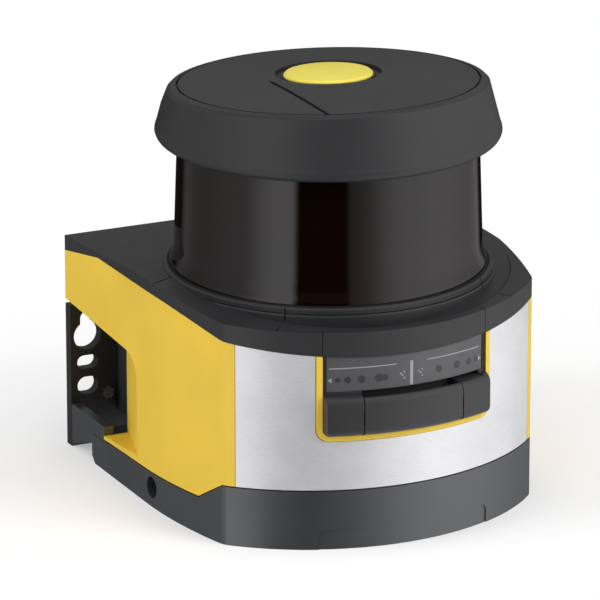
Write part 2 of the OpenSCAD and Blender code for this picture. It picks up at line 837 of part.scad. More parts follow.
module front_flap() {
    color([0.13, 0.13, 0.15]) difference() {
        union() {
            front_arc(-flap_angle, flap_angle) difference() {
                block_section(block_r - flap_t);
                translate([block_r - flap_t - 3, block_top_z - 0.4]) square([12, 3]);
            }
            for (s = [-1, 1])
                translate([s * knuckle_x - knuckle_l / 2, pin_y, pin_z]) rotate([0, 90, 0])
                    cylinder(r = knuckle_r, h = knuckle_l);
        }
        translate([-pin_half_l - 1, pin_y, pin_z]) rotate([0, 90, 0])
            cylinder(d = pin_d + 2 * pin_gap, h = 2 * pin_half_l + 2);
    }
}

// ---- top cover -------------------------------------------------------------------------------

module cover_body(drop = 0) {
    intersection() {
        linear_extrude(cover_h + 1) outline();
        side_bar() polygon(concat(cover_low_edge(), cover_top_edge(drop)));
    }
}

seam_w = 0.5;
seam_depth = 0.4;
seam_y = 6;
seam_lean = 26;
seam_angle = 49.5;

// Height of the crescent recess's floor, which falls away from the cover's top to the front.
function crescent_floor(y) =
    cover_h - top_front_drop * (cover_crease_y - y) / (cover_crease_y - front_y)
    - crescent_depth * (crescent_end_y - y) / (crescent_end_y - front_y);

module top_cover() {
    seal_r = window_foot_r + 0.8;
    color([0.2, 0.2, 0.22]) difference() {
        union() {
            difference() {
                cover_body();
                // crescent recess in front of the collar
                intersection() {
                    translate([0, 0, strip_z]) cylinder(r = crescent_r, h = far, $fn = 144);
                    side_bar() polygon([
                        [cover_crease_y - 1, far],
                        [cover_crease_y - 1, crescent_floor(cover_crease_y - 1)],
                        [front_y - 5, crescent_floor(front_y - 5)], [front_y - 5, far]
                    ]);
                }
            }
            // collar with two lips
            intersection() {
                side_bar() polygon(concat(cover_low_edge(), [[rear_y, far], [front_y, far]]));
                rotate_extrude($fn = 144) polygon([
                    [window_top_r - 6, cover_straight_z], [collar_r + 0.2, cover_straight_z],
                    [collar_r + 0.2, collar_h - 2.9], [collar_r - 0.1, collar_h - 2.4],
                    [collar_r - 0.9, collar_h - 2.4], [collar_r - 0.9, collar_h - 2.1],
                    [collar_r - 0.3, collar_h - 2.1], [collar_r - 0.3, collar_h - 0.6],
                    [collar_r - 0.9, collar_h], [window_top_r - 6, collar_h]
                ]);
            }
        }
        // seams on both shoulders
        intersection() {
            side_bar() polygon(concat(
                cover_top_edge(seam_depth), [[front_y - 5, far], [rear_y + 5, far]]));
            both_sides() {
                translate([collar_r - 1, seam_y, 0]) rotate([0, 0, -seam_lean])
                    cube([far, seam_w, far]);
                rotate([0, 0, -seam_angle]) translate([collar_r - 1, -seam_w / 2, 0])
                    cube([far, seam_w, far]);
            }
        }
        // bore for the optics, and the seat of the window's seal
        translate([0, 0, strip_z]) cylinder(r = window_low_r - 4.5, h = far, $fn = 144);
        translate([0, 0, collar_h - 1]) cylinder(r = seal_r, h = 5, $fn = 144);
        // seat of the fascia insert
        front_arc(-insert_angle, insert_angle)
            translate([front_r - insert_t, strip_z]) square([10, far]);
    }
}

insert_t = 3;

module fascia_insert() {
    color([0.21, 0.21, 0.23]) intersection() {
        cover_body();
        front_arc(-insert_angle + 0.12, insert_angle - 0.12)
            translate([front_r - insert_t + 0.05, strip_z]) square([10, far]);
    }
}

// ---- window and cap --------------------------------------------------------------------------

module window_seal() {
    color([0.05, 0.05, 0.05]) translate([0, 0, collar_h - 1]) difference() {
        cylinder(r = window_foot_r + 0.6, h = 1.2, $fn = 144);
        translate([0, 0, -1]) cylinder(r = window_low_r - 4, h = 4, $fn = 144);
    }
}

// The window's wall, flared at its foot.
module window() {
    z0 = collar_h + 0.2;
    flare = 7;
    outer = [for (i = [0 : 8]) let (t = i / 8)
        [window_low_r + (window_foot_r - window_low_r) * pow(1 - t, 2.5), z0 + 1 + flare * t]];
    color([0.07, 0.03, 0.03]) rotate_extrude($fn = 144) polygon(concat(
        [[window_low_r - window_t, z0], [window_foot_r, z0]],
        outer,
        [[window_top_r, cap_low_h], [window_top_r - 0.3, cap_low_h + 2.2],
         [window_top_r - window_t, cap_low_h + 2.2]]));
}

module cap_base() {
    color([0.25, 0.25, 0.27]) difference() {
        union() {
            translate([0, 0, cap_low_h]) cylinder(r = window_top_r - window_t - 0.1, h = 2.5);
            translate([0, 0, cap_low_h]) cylinder(r = 8, h = 4);
        }
        translate([0, 0, cap_low_h - 1]) cylinder(r = 5, h = 6);
    }
}

// Everything in the cap's tilted frame, whose origin is the middle of the rim.
module tilted() {
    translate([0, 0, cap_rim_h]) rotate([-cap_tilt, 0, 0]) children();
}

straight_groove_l = rim_groove_r * 0.9;

module cap() {
    flank = (cap_r - cap_top_r) / (cap_rim_h - cap_low_h - 3);
    top_z = cap_rim_h + 8;
    color([0.22, 0.22, 0.24]) difference() {
        intersection() {
            rotate_extrude($fn = 144) {
                polygon([
                    [0, cap_low_h], [cap_low_r, cap_low_h], [cap_r - 3, cap_low_h + 0.8],
                    [cap_r, cap_low_h + 3], [cap_r - flank * (top_z - cap_low_h - 3), top_z],
                    [0, top_z]
                ]);
                translate([cap_r - 3.05, cap_low_h + 3.3]) circle(3, $fn = 48);
            }
            // rounded rim and shallow cone of the tilted top
            tilted() rotate_extrude($fn = 144) polygon([
                [0, cap_rise], [disc_seat_r, cap_rise], [cap_top_r - 2.4, 0.25],
                [cap_top_r - 1, -0.2], [cap_top_r + 0.2, -1.4], [cap_top_r + 8, -20],
                [cap_top_r + 8, -2 * cap_flank_h], [0, -2 * cap_flank_h]
            ]);
        }
        // inside
        translate([0, 0, cap_low_h - 1])
            cylinder(r = window_top_r + 0.1, h = 3.3, $fn = 144);
        translate([0, 0, cap_low_h])
            cylinder(r1 = window_top_r + 0.1, r2 = window_top_r - 3, h = 13, $fn = 144);
        // grooves in the top
        tilted() {
            rotate_extrude($fn = 144) translate([rim_groove_r, -groove_w]) square([groove_w, 4]);
            rotate_extrude() translate([disc_groove_r, cap_rise - 1]) square([groove_w / 2, 4]);
            translate([-disc_groove_r - groove_w, -straight_groove_l, 0.6])
                rotate([-2.3, 0, 0]) cube([groove_w, straight_groove_l, 8]);
            // dished seat of the disc
            translate([0, 0, cap_rise - 1.6]) cylinder(r = disc_r + 0.2, h = 5);
            translate([0, 0, cap_rise - 0.8])
                cylinder(r1 = disc_r + 0.4, r2 = disc_seat_r + 0.1, h = 0.9);
        }
    }
}

module cap_disc() {
    color([0.95, 0.87, 0.3]) tilted() translate([0, 0, cap_rise - 1.6])
        rotate_extrude($fn = 96) polygon([
            [0, 0], [disc_r, 0], [disc_r, 1.2], [disc_r - 0.8, 1.9], [disc_r * 0.6, 2.3],
            [disc_r * 0.3, 2.5], [0, 2.6]
        ]);
}

// ---- optics ----------------------------------------------------------------------------------

barrel_wall = 2.5;
barrel_r = lens_r + barrel_wall;
barrel_low = chassis_h - 20;
lens_z = chassis_h + 7;

module chassis() {
    color([0.5, 0.5, 0.52]) difference() {
        union() {
            intersection() {
                translate([-cavity_half_w + 0.4, boss_front_y - 6, chassis_h - chassis_t])
                    cube([2 * cavity_half_w - 0.8, boss_rear_y - boss_front_y + 12, chassis_t]);
                linear_extrude(cover_h) outline(wall + panel_t + 0.4);
            }
            translate([0, 0, barrel_low]) cylinder(r = barrel_r, h = lens_z + 4 - barrel_low);
        }
        translate([0, 0, barrel_low + barrel_wall]) cylinder(r = lens_r - 1.5, h = far);
        translate([0, 0, barrel_low - 1]) cylinder(r = lens_r - 8, h = far);
        translate([0, 0, lens_z]) cylinder(r = lens_r + 0.05, h = 10);
        at_bosses() translate([0, 0, chassis_h - chassis_t - 1])
            cylinder(r = chassis_screw_r + 0.2, h = chassis_t + 2);
    }
}

module chassis_screws() {
    color([0.7, 0.7, 0.72]) at_bosses() difference() {
        union() {
            translate([0, 0, chassis_h]) cylinder(r = 2.8, h = 2);
            translate([0, 0, chassis_h - chassis_t - 10])
                cylinder(r = chassis_screw_r, h = chassis_t + 10.5);
        }
        translate([0, 0, chassis_h + 0.8]) cylinder(r = 1.4, h = 2, $fn = 6);
    }
}

module receiver_lens() {
    sag = 3.2;
    ball_r = (lens_r * lens_r + sag * sag) / (2 * sag);
    color([0.75, 0.85, 0.9]) difference() {
        intersection() {
            translate([0, 0, lens_z]) cylinder(r = lens_r, h = 8);
            translate([0, 0, lens_z + 1.8 + sag - ball_r]) sphere(r = ball_r);
        }
        translate([0, 0, lens_z - 1]) cylinder(r = emitter_r + 0.05, h = 12);
    }
}

emitter_low = barrel_low + 10;

module emitter_module() {
    color([0.15, 0.15, 0.16]) difference() {
        union() {
            translate([0, 0, emitter_low]) cylinder(r = emitter_r, h = lens_z + 10 - emitter_low);
            translate([0, 0, emitter_low - 4]) cylinder(r = emitter_r - 1.2, h = 5);
        }
        translate([0, 0, lens_z + 6]) cylinder(r = emitter_r - 1, h = 5);
    }
}

module detector_board() {
    color([0.1, 0.35, 0.2]) translate([0, 0, barrel_low - board_t])
        cylinder(r = barrel_r, h = board_t);
    color([0.1, 0.1, 0.1]) translate([-4, -4, barrel_low - eps])
        cube([8, 8, emitter_low - 4 - barrel_low]);
}

module main_board() {
    color([0.1, 0.35, 0.2]) difference() {
        translate([-boss_x + 6, boss_front_y - 4, main_board_h])
            cube([2 * boss_x - 12, boss_rear_y - boss_front_y + 8, board_t]);
        at_spacers() translate([0, 0, main_board_h - 1]) cylinder(r = 1.6, h = 5);
    }
}

module at_spacers() {
    for (x = [-boss_x + 10, boss_x - 10])
        for (y = [boss_front_y + 12, boss_rear_y - 12])
            translate([x, y, 0]) children();
}

module board_spacers() {
    color([0.8, 0.75, 0.5]) at_spacers() {
        translate([0, 0, cavity_z]) cylinder(r = 2.8, h = main_board_h - cavity_z);
        translate([0, 0, main_board_h - eps]) cylinder(r = 1.5, h = board_t + 1.5);
    }
}

// The board's chips and its plug: corners as [x, y], sizes as [x, y, z].
chips = [
    [[-12, -12], [24, 24, 2.4]], [[18, 6], [12, 16, 2]],
    [[-30, 4], [12, 18, 2]], [[-14, 26], [28, 6, 10]]
];
// The board's capacitors: places, radius and height.
capacitors = [[18, -22], [26, -22]];
capacitor_r = 3;
capacitor_h = 9;

module board_chips() {
    translate([0, 0, main_board_h + board_t]) {
        color([0.08, 0.08, 0.09]) for (chip = chips)
            translate(chip[0]) cube(chip[1]);
        color([0.3, 0.3, 0.32]) for (place = capacitors)
            translate(place) cylinder(r = capacitor_r, h = capacitor_h);
    }
}

column_w = 14;
column_d = 5;
column_y = window_top_r - window_t - 7.2;

// Column that carries the motor's wires past the mirror.
module wiring_column() {
    color([0.12, 0.12, 0.13]) translate([-column_w / 2, column_y - column_d / 2, chassis_h])
        cube([column_w, column_d, cap_low_h - chassis_h]);
}

module motor_stator() {
    color([0.55, 0.4, 0.25]) difference() {
        translate([0, 0, cap_low_h + 2.5]) difference() {
            cylinder(r = stator_r, h = 7.4);
            for (a = [0 : 40 : 320])
                rotate([0, 0, a]) translate([8.5, -0.7, -1]) cube([10, 1.4, 10]);
        }
        translate([0, 0, cap_low_h + 1]) cylinder(r = 8.05, h = 3.01);
        translate([0, 0, cap_low_h + 1]) cylinder(r = 5, h = 20);
    }
}

bearing_l = 3;

module rotor_bearings() {
    color([0.7, 0.7, 0.72]) for (z = [cap_low_h + 0.2, cap_low_h + 7.4])
        translate([0, 0, z]) difference() {
            cylinder(r = 5, h = bearing_l);
            translate([0, 0, -1]) cylinder(r = shaft_r + 0.05, h = bearing_l + 2);
        }
}

module rotor_shaft() {
    color([0.75, 0.75, 0.77]) translate([0, 0, shaft_low])
        cylinder(r = shaft_r, h = cap_low_h + 12.2 - shaft_low);
}

module rotor_magnet() {
    color([0.3, 0.3, 0.32]) translate([0, 0, cap_low_h + 3.2]) difference() {
        cylinder(r = stator_r + 3, h = 9);
        translate([0, 0, -1]) cylinder(r = stator_r + 0.5, h = 8.2);
        translate([0, 0, -1]) cylinder(r = shaft_r, h = 12);
    }
}

module encoder_disc() {
    color([0.6, 0.65, 0.7]) translate([0, 0, cap_low_h - 4]) difference() {
        cylinder(r = carrier_r + 6, h = 0.8);
        translate([0, 0, -1]) cylinder(r = shaft_r, h = 3);
        for (a = [0 : 30 : 330])
            rotate([0, 0, a]) translate([carrier_r + 1.5, -1, -1]) cube([3, 2, 3]);
    }
}

carrier_top = cap_low_h - 5;
shaft_low = scan_h + 8;

// A slab under the plane that turns the beam from the axis to the front, from depth a to b.
module mirror_slab(a, b) {
    translate([0, 0, scan_h]) rotate([-45, 0, 0]) translate([-far / 2, -far / 2, a])
        cube([far, far, b - a]);
}

module mirror_carrier() {
    color([0.3, 0.3, 0.32]) difference() {
        union() {
            translate([0, 0, scan_h - carrier_r])
                cylinder(r = carrier_r, h = carrier_top - scan_h + carrier_r);
            translate([0, 0, carrier_top - eps]) cylinder(r = 5, h = 1 + eps);
        }
        translate([0, 0, shaft_low]) cylinder(r = shaft_r, h = far);
        // sloping seat of the mirror
        mirror_slab(-far, mirror_t);
    }
}

module scan_mirror() {
    color([0.85, 0.9, 0.95]) intersection() {
        translate([0, 0, scan_h - 2 * carrier_r])
            cylinder(r = carrier_r, h = carrier_top - scan_h + 2 * carrier_r);
        mirror_slab(0, mirror_t);
    }
}

connection_unit();
side_flanges();
rear_plate();
wiring_box();
connector_sockets();
connection_board();
link_plug();
earth_screws();
unit_screws();
housing();
link_seal();
front_panel();
top_cover();
fascia_insert();
display_bezel();
indicator_lens();
indicator_board();
indicator_lamps();
service_socket();
flap_pin();
front_flap();
chassis();
chassis_screws();
receiver_lens();
emitter_module();
detector_board();
main_board();
board_chips();
board_spacers();
wiring_column();
window_seal();
window();
cap_base();
cap();
cap_disc();
motor_stator();
rotor_bearings();
rotor_shaft();
rotor_magnet();
encoder_disc();
mirror_carrier();
scan_mirror();
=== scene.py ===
# %% [markdown]
# # A safety laser scanner
#
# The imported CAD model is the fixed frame: every object here is in metres, in its coordinates.
# The scanning axis is the Z axis, the curved front faces -Y, and the object stands on Z = 0.

# %% Frame
import json
import math

import bmesh
import bpy
from mathutils import Matrix, Vector


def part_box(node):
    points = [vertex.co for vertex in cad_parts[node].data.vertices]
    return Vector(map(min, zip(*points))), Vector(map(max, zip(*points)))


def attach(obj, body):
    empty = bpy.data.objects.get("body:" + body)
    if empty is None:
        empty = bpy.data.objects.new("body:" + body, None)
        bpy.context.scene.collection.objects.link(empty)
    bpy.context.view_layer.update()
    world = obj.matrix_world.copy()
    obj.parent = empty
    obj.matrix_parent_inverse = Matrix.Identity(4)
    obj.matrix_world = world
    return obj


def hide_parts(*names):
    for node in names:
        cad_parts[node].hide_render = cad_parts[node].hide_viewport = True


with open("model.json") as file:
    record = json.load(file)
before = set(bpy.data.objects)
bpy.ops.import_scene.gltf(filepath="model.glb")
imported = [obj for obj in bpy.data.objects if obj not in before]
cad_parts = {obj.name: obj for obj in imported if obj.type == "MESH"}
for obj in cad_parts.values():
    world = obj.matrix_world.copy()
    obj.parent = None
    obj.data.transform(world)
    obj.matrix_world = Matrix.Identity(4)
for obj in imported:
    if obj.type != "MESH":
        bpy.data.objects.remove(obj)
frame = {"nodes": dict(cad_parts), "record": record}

scene = bpy.context.scene
nodes = frame["nodes"]
MM = 0.001
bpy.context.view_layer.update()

# %% [markdown]
# ## Camera
#
# The scanner is seen from its left front, a little from above. A long lens, far away, keeps its
# upright edges upright. Blender's camera looks along its own -Z axis, so its rotation is built
# from three vectors: right, up, and back towards the camera. They also serve the studio, whose
# walls and lamps are placed by the camera's side. The camera is the first new object, so the
# helper that puts new objects into the scene comes with it.

# %% New objects
def linked(name, data):
    thing = bpy.data.objects.new(name, data)
    scene.collection.objects.link(thing)
    return thing


# %% Camera
VIEW_AZIMUTH = math.radians(-25.548)
VIEW_ELEVATION = math.radians(17.951)
VIEW_DISTANCE = 1.9150
VIEW_TARGET = Vector((-0.009270, 0.003525, 0.068727))
LENS_MM = 326.56
SENSOR_MM = 36

back = Vector((
    math.sin(VIEW_AZIMUTH) * math.cos(VIEW_ELEVATION),
    -math.cos(VIEW_AZIMUTH) * math.cos(VIEW_ELEVATION),
    math.sin(VIEW_ELEVATION),
))
right = Vector((math.cos(VIEW_AZIMUTH), math.sin(VIEW_AZIMUTH), 0))
up = back.cross(right)

camera = linked("camera", bpy.data.cameras.new("camera"))
camera.data.lens = LENS_MM
camera.data.sensor_width = SENSOR_MM
camera.data.clip_end = 50
turn = Matrix((right, up, back)).transposed().to_4x4()
camera.matrix_world = Matrix.Translation(VIEW_TARGET + back * VIEW_DISTANCE) @ turn
scene.camera = camera
scene.view_settings.view_transform = "Standard"
print("camera at", [round(v, 3) for v in camera.matrix_world.translation])

# %% [markdown]
# ## Node trees as expressions
#
# A procedural finish is mostly arithmetic on noise, and a shape that follows a rule is mostly
# arithmetic on positions. `Value` wraps one output of a node, and Python's operators add the
# Math nodes, so `0.4 + 0.1 * grain` reads as it would on paper.

# %% Value
class Value:
    """One output of a node."""

    def __init__(self, tree, socket):
        self.tree = tree
        self.socket = socket

    def math(self, operation, first, second=None):
        node = self.tree.nodes.new("ShaderNodeMath")
        node.operation = operation
        for slot, value in zip(node.inputs, (first, second)):
            if isinstance(value, Value):
                self.tree.links.new(value.socket, slot)
            elif value is not None:
                slot.default_value = value
        return Value(self.tree, node.outputs[0])

    def __add__(self, other):
        return self.math("ADD", self, other)

    def __sub__(self, other):
        return self.math("SUBTRACT", self, other)

    def __rsub__(self, other):
        return self.math("SUBTRACT", other, self)

    def __mul__(self, other):
        return self.math("MULTIPLY", self, other)

    def __truediv__(self, other):
        return self.math("DIVIDE", self, other)

    def __pow__(self, other):
        return self.math("POWER", self, other)

    def __gt__(self, other):
        return self.math("GREATER_THAN", self, other)

    __radd__ = __add__
    __rmul__ = __mul__

    def at_most(self, other):
        return self.math("MINIMUM", self, other)

    def at_least(self, other):
        return self.math("MAXIMUM", self, other)

    def rounded(self):
        return self.math("ROUND", self)

    def modulo(self, other):
        return self.math("MODULO", self, other)

    def sine(self):
        return self.math("SINE", self)

    def cosine(self):
        return self.math("COSINE", self)

    def bearing(self, ahead):
        """The angle whose sideways part is this value, from the direction ahead."""
        return self.math("ARCTAN2", self, ahead)


# %% [markdown]
# Every other node comes in through `Tree.add`: its type, its settings, and the values or links
# of its sockets. The settings go first, because some of them change which sockets there are.

# %% Tree
class Tree:
    """A node tree in the making."""

    def __init__(self, tree):
        self.tree = tree

    def add(self, kind, settings=None, sockets=None, out=0):
        """Adds a node and returns one of its outputs."""
        node = self.tree.nodes.new(kind)
        for key, value in (settings or {}).items():
            setattr(node, key, value)
        for key, value in (sockets or {}).items():
            several = value if isinstance(value, list) else [value]
            for one in several:
                if isinstance(one, Value):
                    self.tree.links.new(one.socket, node.inputs[key])
                else:
                    node.inputs[key].default_value = one
        return Value(self.tree, node.outputs[out])

    def step(self, value, low, high):
        """0 below low, 1 above high, smooth between."""
        return self.add(
            "ShaderNodeMapRange", {"interpolation_type": "SMOOTHSTEP"},
            {"Value": value, "From Min": low, "From Max": high})


# %% [markdown]
# ## Finishes
#
# `Finish` is a material around one Principled shader. Its noises read Object coordinates, in
# metres, so a grain of 0.4 mm is 0.4 mm on every piece, large or small. Words after the name
# set sockets that stay the same all over, with `_` for a space.

# %% Finish
class Finish(Tree):
    """A material in the making, around one Principled BSDF."""

    def __init__(self, name, **fixed):
        self.material = bpy.data.materials.new(name)
        self.material.use_nodes = True
        super().__init__(self.material.node_tree)
        self.surface = self.tree.nodes["Principled BSDF"]
        for socket, value in fixed.items():
            self.surface.inputs[socket.replace("_", " ")].default_value = value
        self.place = self.add("ShaderNodeTexCoord", out="Object")

    def noise(self, size_mm, detail=3, stretch=(1, 1, 1)):
        """Noise between 0 and 1 whose lumps are about size_mm across."""
        place = self.add("ShaderNodeMapping", {}, {"Vector": self.place, "Scale": stretch})
        return self.add(
            "ShaderNodeTexNoise", {},
            {"Vector": place, "Scale": 1 / (size_mm * MM), "Detail": detail})

    def mix(self, factor, first, second):
        """A blend of two colours, each (r, g, b)."""
        return self.add(
            "ShaderNodeMix", {"data_type": "RGBA"},
            {0: factor, 6: (*first, 1), 7: (*second, 1)}, out=2)

    def set(self, socket, value):
        self.tree.links.new(value.socket, self.surface.inputs[socket])

    def bump(self, height, depth_mm):
        """Relief: height 0 to 1 stands for depth_mm of real depth."""
        self.set("Normal", self.add(
            "ShaderNodeBump", {},
            {"Height": height, "Strength": 1.0, "Distance": depth_mm * MM}))

    def done(self):
        print(self.material.name, "has", len(self.tree.nodes), "nodes")
        return self.material


def toned(colour, factor):
    """The colour, lighter or darker by a factor."""
    return tuple(min(1, part * factor) for part in colour)


# %% [markdown]
# ## Plastics and paints
#
# The housing, the cover and the bezel are moulded in steel tools whose walls are spark-eroded, so
# the plastic carries a fine even grain. The connection unit is a painted casting, and its grain
# is coarser. An image of a grain would be quick, but it repeats and needs unwrapping. Here the
# grain is a sum of two noises, the colour drifts a little over centimetres, and handling leaves
# faint duller and shinier clouds. One function makes them all, because only colour, grain and
# sheen differ.

# %% Moulded plastic
DRIFT_MM = 28
HANDLING_MM = 14
HANDLING = 0.12


def moulded(name, colour, rough, grain_mm=0.35, depth_mm=0.012, drift=0.07, **fixed):
    """An even grain, on a colour that drifts by a share of itself."""
    f = Finish(name, **fixed)
    cloud = f.noise(DRIFT_MM, 2)
    speck = f.noise(grain_mm * 1.6, 2)
    shade = cloud * 0.7 + speck * 0.3
    f.set("Base Color", f.mix(
        f.step(shade, 0.3, 0.7), toned(colour, 1 - drift), toned(colour, 1 + drift)))
    f.set("Roughness", rough + (f.noise(HANDLING_MM, 4) - 0.5) * HANDLING)
    f.bump(f.noise(grain_mm, 2) * 0.65 + f.noise(grain_mm * 0.45, 1) * 0.35, depth_mm)
    return f.done()


yellow_plastic = moulded("yellow plastic", (0.72, 0.487, 0.038), 0.46, drift=0.045)
charcoal_plastic = moulded(
    "charcoal plastic", (0.022, 0.022, 0.024), 0.46, grain_mm=0.45, depth_mm=0.016)
black_plastic = moulded(
    "black plastic", (0.027, 0.027, 0.029), 0.4, grain_mm=0.3, depth_mm=0.008)
coated_metal = moulded(
    "coated metal", (0.027, 0.0305, 0.034), 0.36, grain_mm=0.9, depth_mm=0.02,
    Specular_IOR_Level=1.0, IOR=1.58)
# The rear plate is part of the same coated casting. Its colour is darker than the rest of it
# because painted shade stands in for the shadow the plate stands in.
plate_painted_shade = moulded("coated plate in painted shade", (0.016, 0.016, 0.018), 0.45, grain_mm=0.9, depth_mm=0.02)
lemon_plastic = moulded(
    "lemon plastic", (0.80, 0.675, 0.095), 0.38, depth_mm=0.006, drift=0.03)
rubber = moulded("rubber", (0.012, 0.012, 0.013), 0.8, grain_mm=0.6)
epoxy = moulded("epoxy", (0.018, 0.018, 0.02), 0.6, grain_mm=0.25)
lamp_plastic = moulded("lamp plastic", (0.62, 0.62, 0.56), 0.35)
board_green = moulded("solder resist", (0.02, 0.11, 0.05), 0.35, grain_mm=1.2, drift=0.2)
printed_white = moulded("printed white", (0.30, 0.30, 0.31), 0.45, depth_mm=0.002)
printed_dark = moulded("printed dark", (0.034, 0.034, 0.036), 0.35, depth_mm=0.002)

# %% [markdown]
# ## Metals
#
# The front panel is satin aluminium: brushed once, along its curve, then lacquered. Lines could
# be modelled, but they are finer than a hair, so noise about thirteen times as long as wide
# gives the brushing. The same function makes plain metals when the noise isn't stretched:
# screws are zinc plated, the chassis is die cast.

# %% Metals
SMEAR_MM = 20


def metal(name, colour, rough, grain_mm, stretch=(1, 1, 1), depth_mm=0.01, metallic=1.0):
    """Lines or grain of one noise, under the clouds of another."""
    f = Finish(name, Metallic=metallic)
    lines = f.noise(grain_mm, 3, stretch)
    cloud = f.noise(SMEAR_MM, 3)
    f.set("Base Color", f.mix(
        f.step(lines * 0.5 + cloud * 0.5, 0.3, 0.7), toned(colour, 0.9), toned(colour, 1.06)))
    f.set("Roughness", rough + (lines - 0.5) * 0.16 + (cloud - 0.5) * 0.08)
    f.bump(lines, depth_mm)
    return f.done()


silver = metal(
    "satin silver", (0.79, 0.79, 0.81), 0.42, 0.25, stretch=(0.12, 0.12, 1.6), depth_mm=0.004,
    metallic=0.55)
zinc = metal("zinc plate", (0.62, 0.62, 0.64), 0.3, 0.8)
cast = metal("die casting", (0.42, 0.42, 0.44), 0.5, 0.9, depth_mm=0.05)
nickel = metal("nickel plate", (0.60, 0.57, 0.50), 0.28, 0.5)
copper = metal("copper windings", (0.60, 0.26, 0.12), 0.4, 0.35, stretch=(1, 1, 0.15))
mirror_coating = metal("mirror coating", (0.86, 0.88, 0.90), 0.06, 6, depth_mm=0.0)

# %% [markdown]
# ## Window and lenses
#
# The window lets only infrared through: to the eye it is black with a breath of red, and
# polished. Transmission would cost time and show nothing, so the finish is opaque.
# Its dense plastic bends light a little more than most, which is its IOR of 1.56. Where hands
# have wiped it, it is a trace duller.

# %% Glossy finishes
def glossy(name, colour, glow, rough=0.06, wipe=0.05, **fixed):
    """A polish between two shades, with duller wiped spots."""
    f = Finish(name, **fixed)
    f.set("Base Color", f.mix(f.step(f.noise(22, 3), 0.3, 0.7), colour, glow))
    f.set("Roughness", rough + f.step(f.noise(7, 4), 0.45, 0.8) * wipe)
    return f.done()


window_glass = glossy(
    "infrared window", (0.0030, 0.0004, 0.0003), (0.0042, 0.0005, 0.0004), rough=0.05,
    wipe=0.03, IOR=1.56)
smoked_lens = glossy("smoked lens", (0.070, 0.070, 0.075), (0.082, 0.082, 0.087), rough=0.3)
lens_glass = glossy("lens glass", (0.30, 0.36, 0.42), (0.34, 0.40, 0.46))

# %% [markdown]
# ## Softened edges
#
# No moulded or painted edge is knife sharp: each catches a thin line of light. A Bevel node in
# the material would only fake the line, so a copy of each shell gets its edges rounded by a
# Bevel modifier, and then stands for its CAD node. The CAD mesh is loose triangles, and a bevel
# follows real edges only. So the copy's triangles are first merged, flat groups of them become
# single faces, and creases are marked sharp.

# %% Merged copies
MERGE_MM = 0.002
FLAT_DEGREES = 0.05
CREASE_DEGREES = 6


def merged_copy(node, prepare=None):
    """A copy of a CAD node's mesh with whole faces and marked creases."""
    mesh = nodes[node].data.copy()
    work = bmesh.new()
    work.from_mesh(mesh)
    if prepare:
        prepare(work)
    bmesh.ops.remove_doubles(work, verts=work.verts, dist=MERGE_MM * MM)
    bmesh.ops.dissolve_limit(
        work, angle_limit=math.radians(FLAT_DEGREES), verts=work.verts, edges=work.edges)
    for face in work.faces:
        face.smooth = True
    for edge in work.edges:
        edge.smooth = edge.calc_face_angle(0) < math.radians(CREASE_DEGREES)
    work.to_mesh(mesh)
    work.free()
    return mesh


# %% Modifiers and plain meshes
def modified(thing, name, kind, **settings):
    """Adds a modifier with its settings."""
    modifier = thing.modifiers.new(name, kind)
    for key, value in settings.items():
        setattr(modifier, key, value)
    return modifier


def plain_mesh(thing, name, body):
    """The evaluated object as a new plain mesh object with no modifiers."""
    evaluated = thing.evaluated_get(bpy.context.evaluated_depsgraph_get())
    mesh = bpy.data.meshes.new_from_object(evaluated)
    mesh.name = name
    piece = linked(name, mesh)
    bpy.data.objects.remove(thing)
    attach(piece, body)
    print(name, len(mesh.polygons), "faces")
    return piece


# %% [markdown]
# Between two flat faces, a rounded edge should shade round and leave both faces flat. The Bevel
# modifier notes which faces are its own, and Weighted Normal then lets the flat faces win.

# %% Rounded copies
SLOTS = {part["node"]: part["material_slot"] for part in frame["record"]["subparts"]}
EDGE_DEGREES = 32


def softened(node, radius_mm, finish, body="root", prepare=None, cutters=()):
    """A copy of a CAD node, cut where asked, with every edge rounded, standing for it."""
    mesh = merged_copy(node, prepare)
    mesh.materials.clear()
    mesh.materials.append(finish)
    draft = linked(node + "_draft", mesh)
    for cutter in cutters:
        modified(draft, "cut", "BOOLEAN", operation="DIFFERENCE", solver="EXACT", object=cutter)
    modified(
        draft, "edge", "BEVEL", width=radius_mm * MM, segments=2, limit_method="ANGLE",
        angle_limit=math.radians(EDGE_DEGREES), use_clamp_overlap=True,
        face_strength_mode="FSTR_ALL")
    modified(draft, "shading", "WEIGHTED_NORMAL", keep_sharp=True, use_face_influence=True)
    piece = plain_mesh(draft, node + "_shaped", body)
    for cutter in cutters:
        bpy.data.objects.remove(cutter)
    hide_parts(node)
    return piece


# %% [markdown]
# The base's front is a true cylinder on the real scanner, and facets in the CAD mesh. Its
# corners take the cylinder's own normals, so that highlights run along it without steps.

# %% True cylinder shading
FRONT_CENTRE = Vector((0, 16.5 * MM, 0))
ROUND_DEGREES = 4


def turned(piece, centre):
    """Gives the faces that lie round a vertical axis the normals of a true cylinder."""
    mesh = piece.data
    normals = [corner.vector.copy() for corner in mesh.corner_normals]
    for face in mesh.polygons:
        for index in face.loop_indices:
            out = mesh.vertices[mesh.loops[index].vertex_index].co - centre
            out.z = 0
            if face.normal.angle(out) < math.radians(ROUND_DEGREES):
                normals[index] = out.normalized()
    mesh.normals_split_custom_set(normals)


# %% Softened pieces
softened("housing", 0.5, yellow_plastic)
turned(softened("connection_unit", 0.35, coated_metal), FRONT_CENTRE)
softened("side_flanges", 0.35, coated_metal)
softened("rear_plate", 0.35, plate_painted_shade)
softened("wiring_box", 0.35, coated_metal)
softened("top_cover", 0.5, charcoal_plastic)
softened("fascia_insert", 0.2, charcoal_plastic)
softened("display_bezel", 0.25, black_plastic)
softened("front_flap", 0.3, black_plastic, "flap")

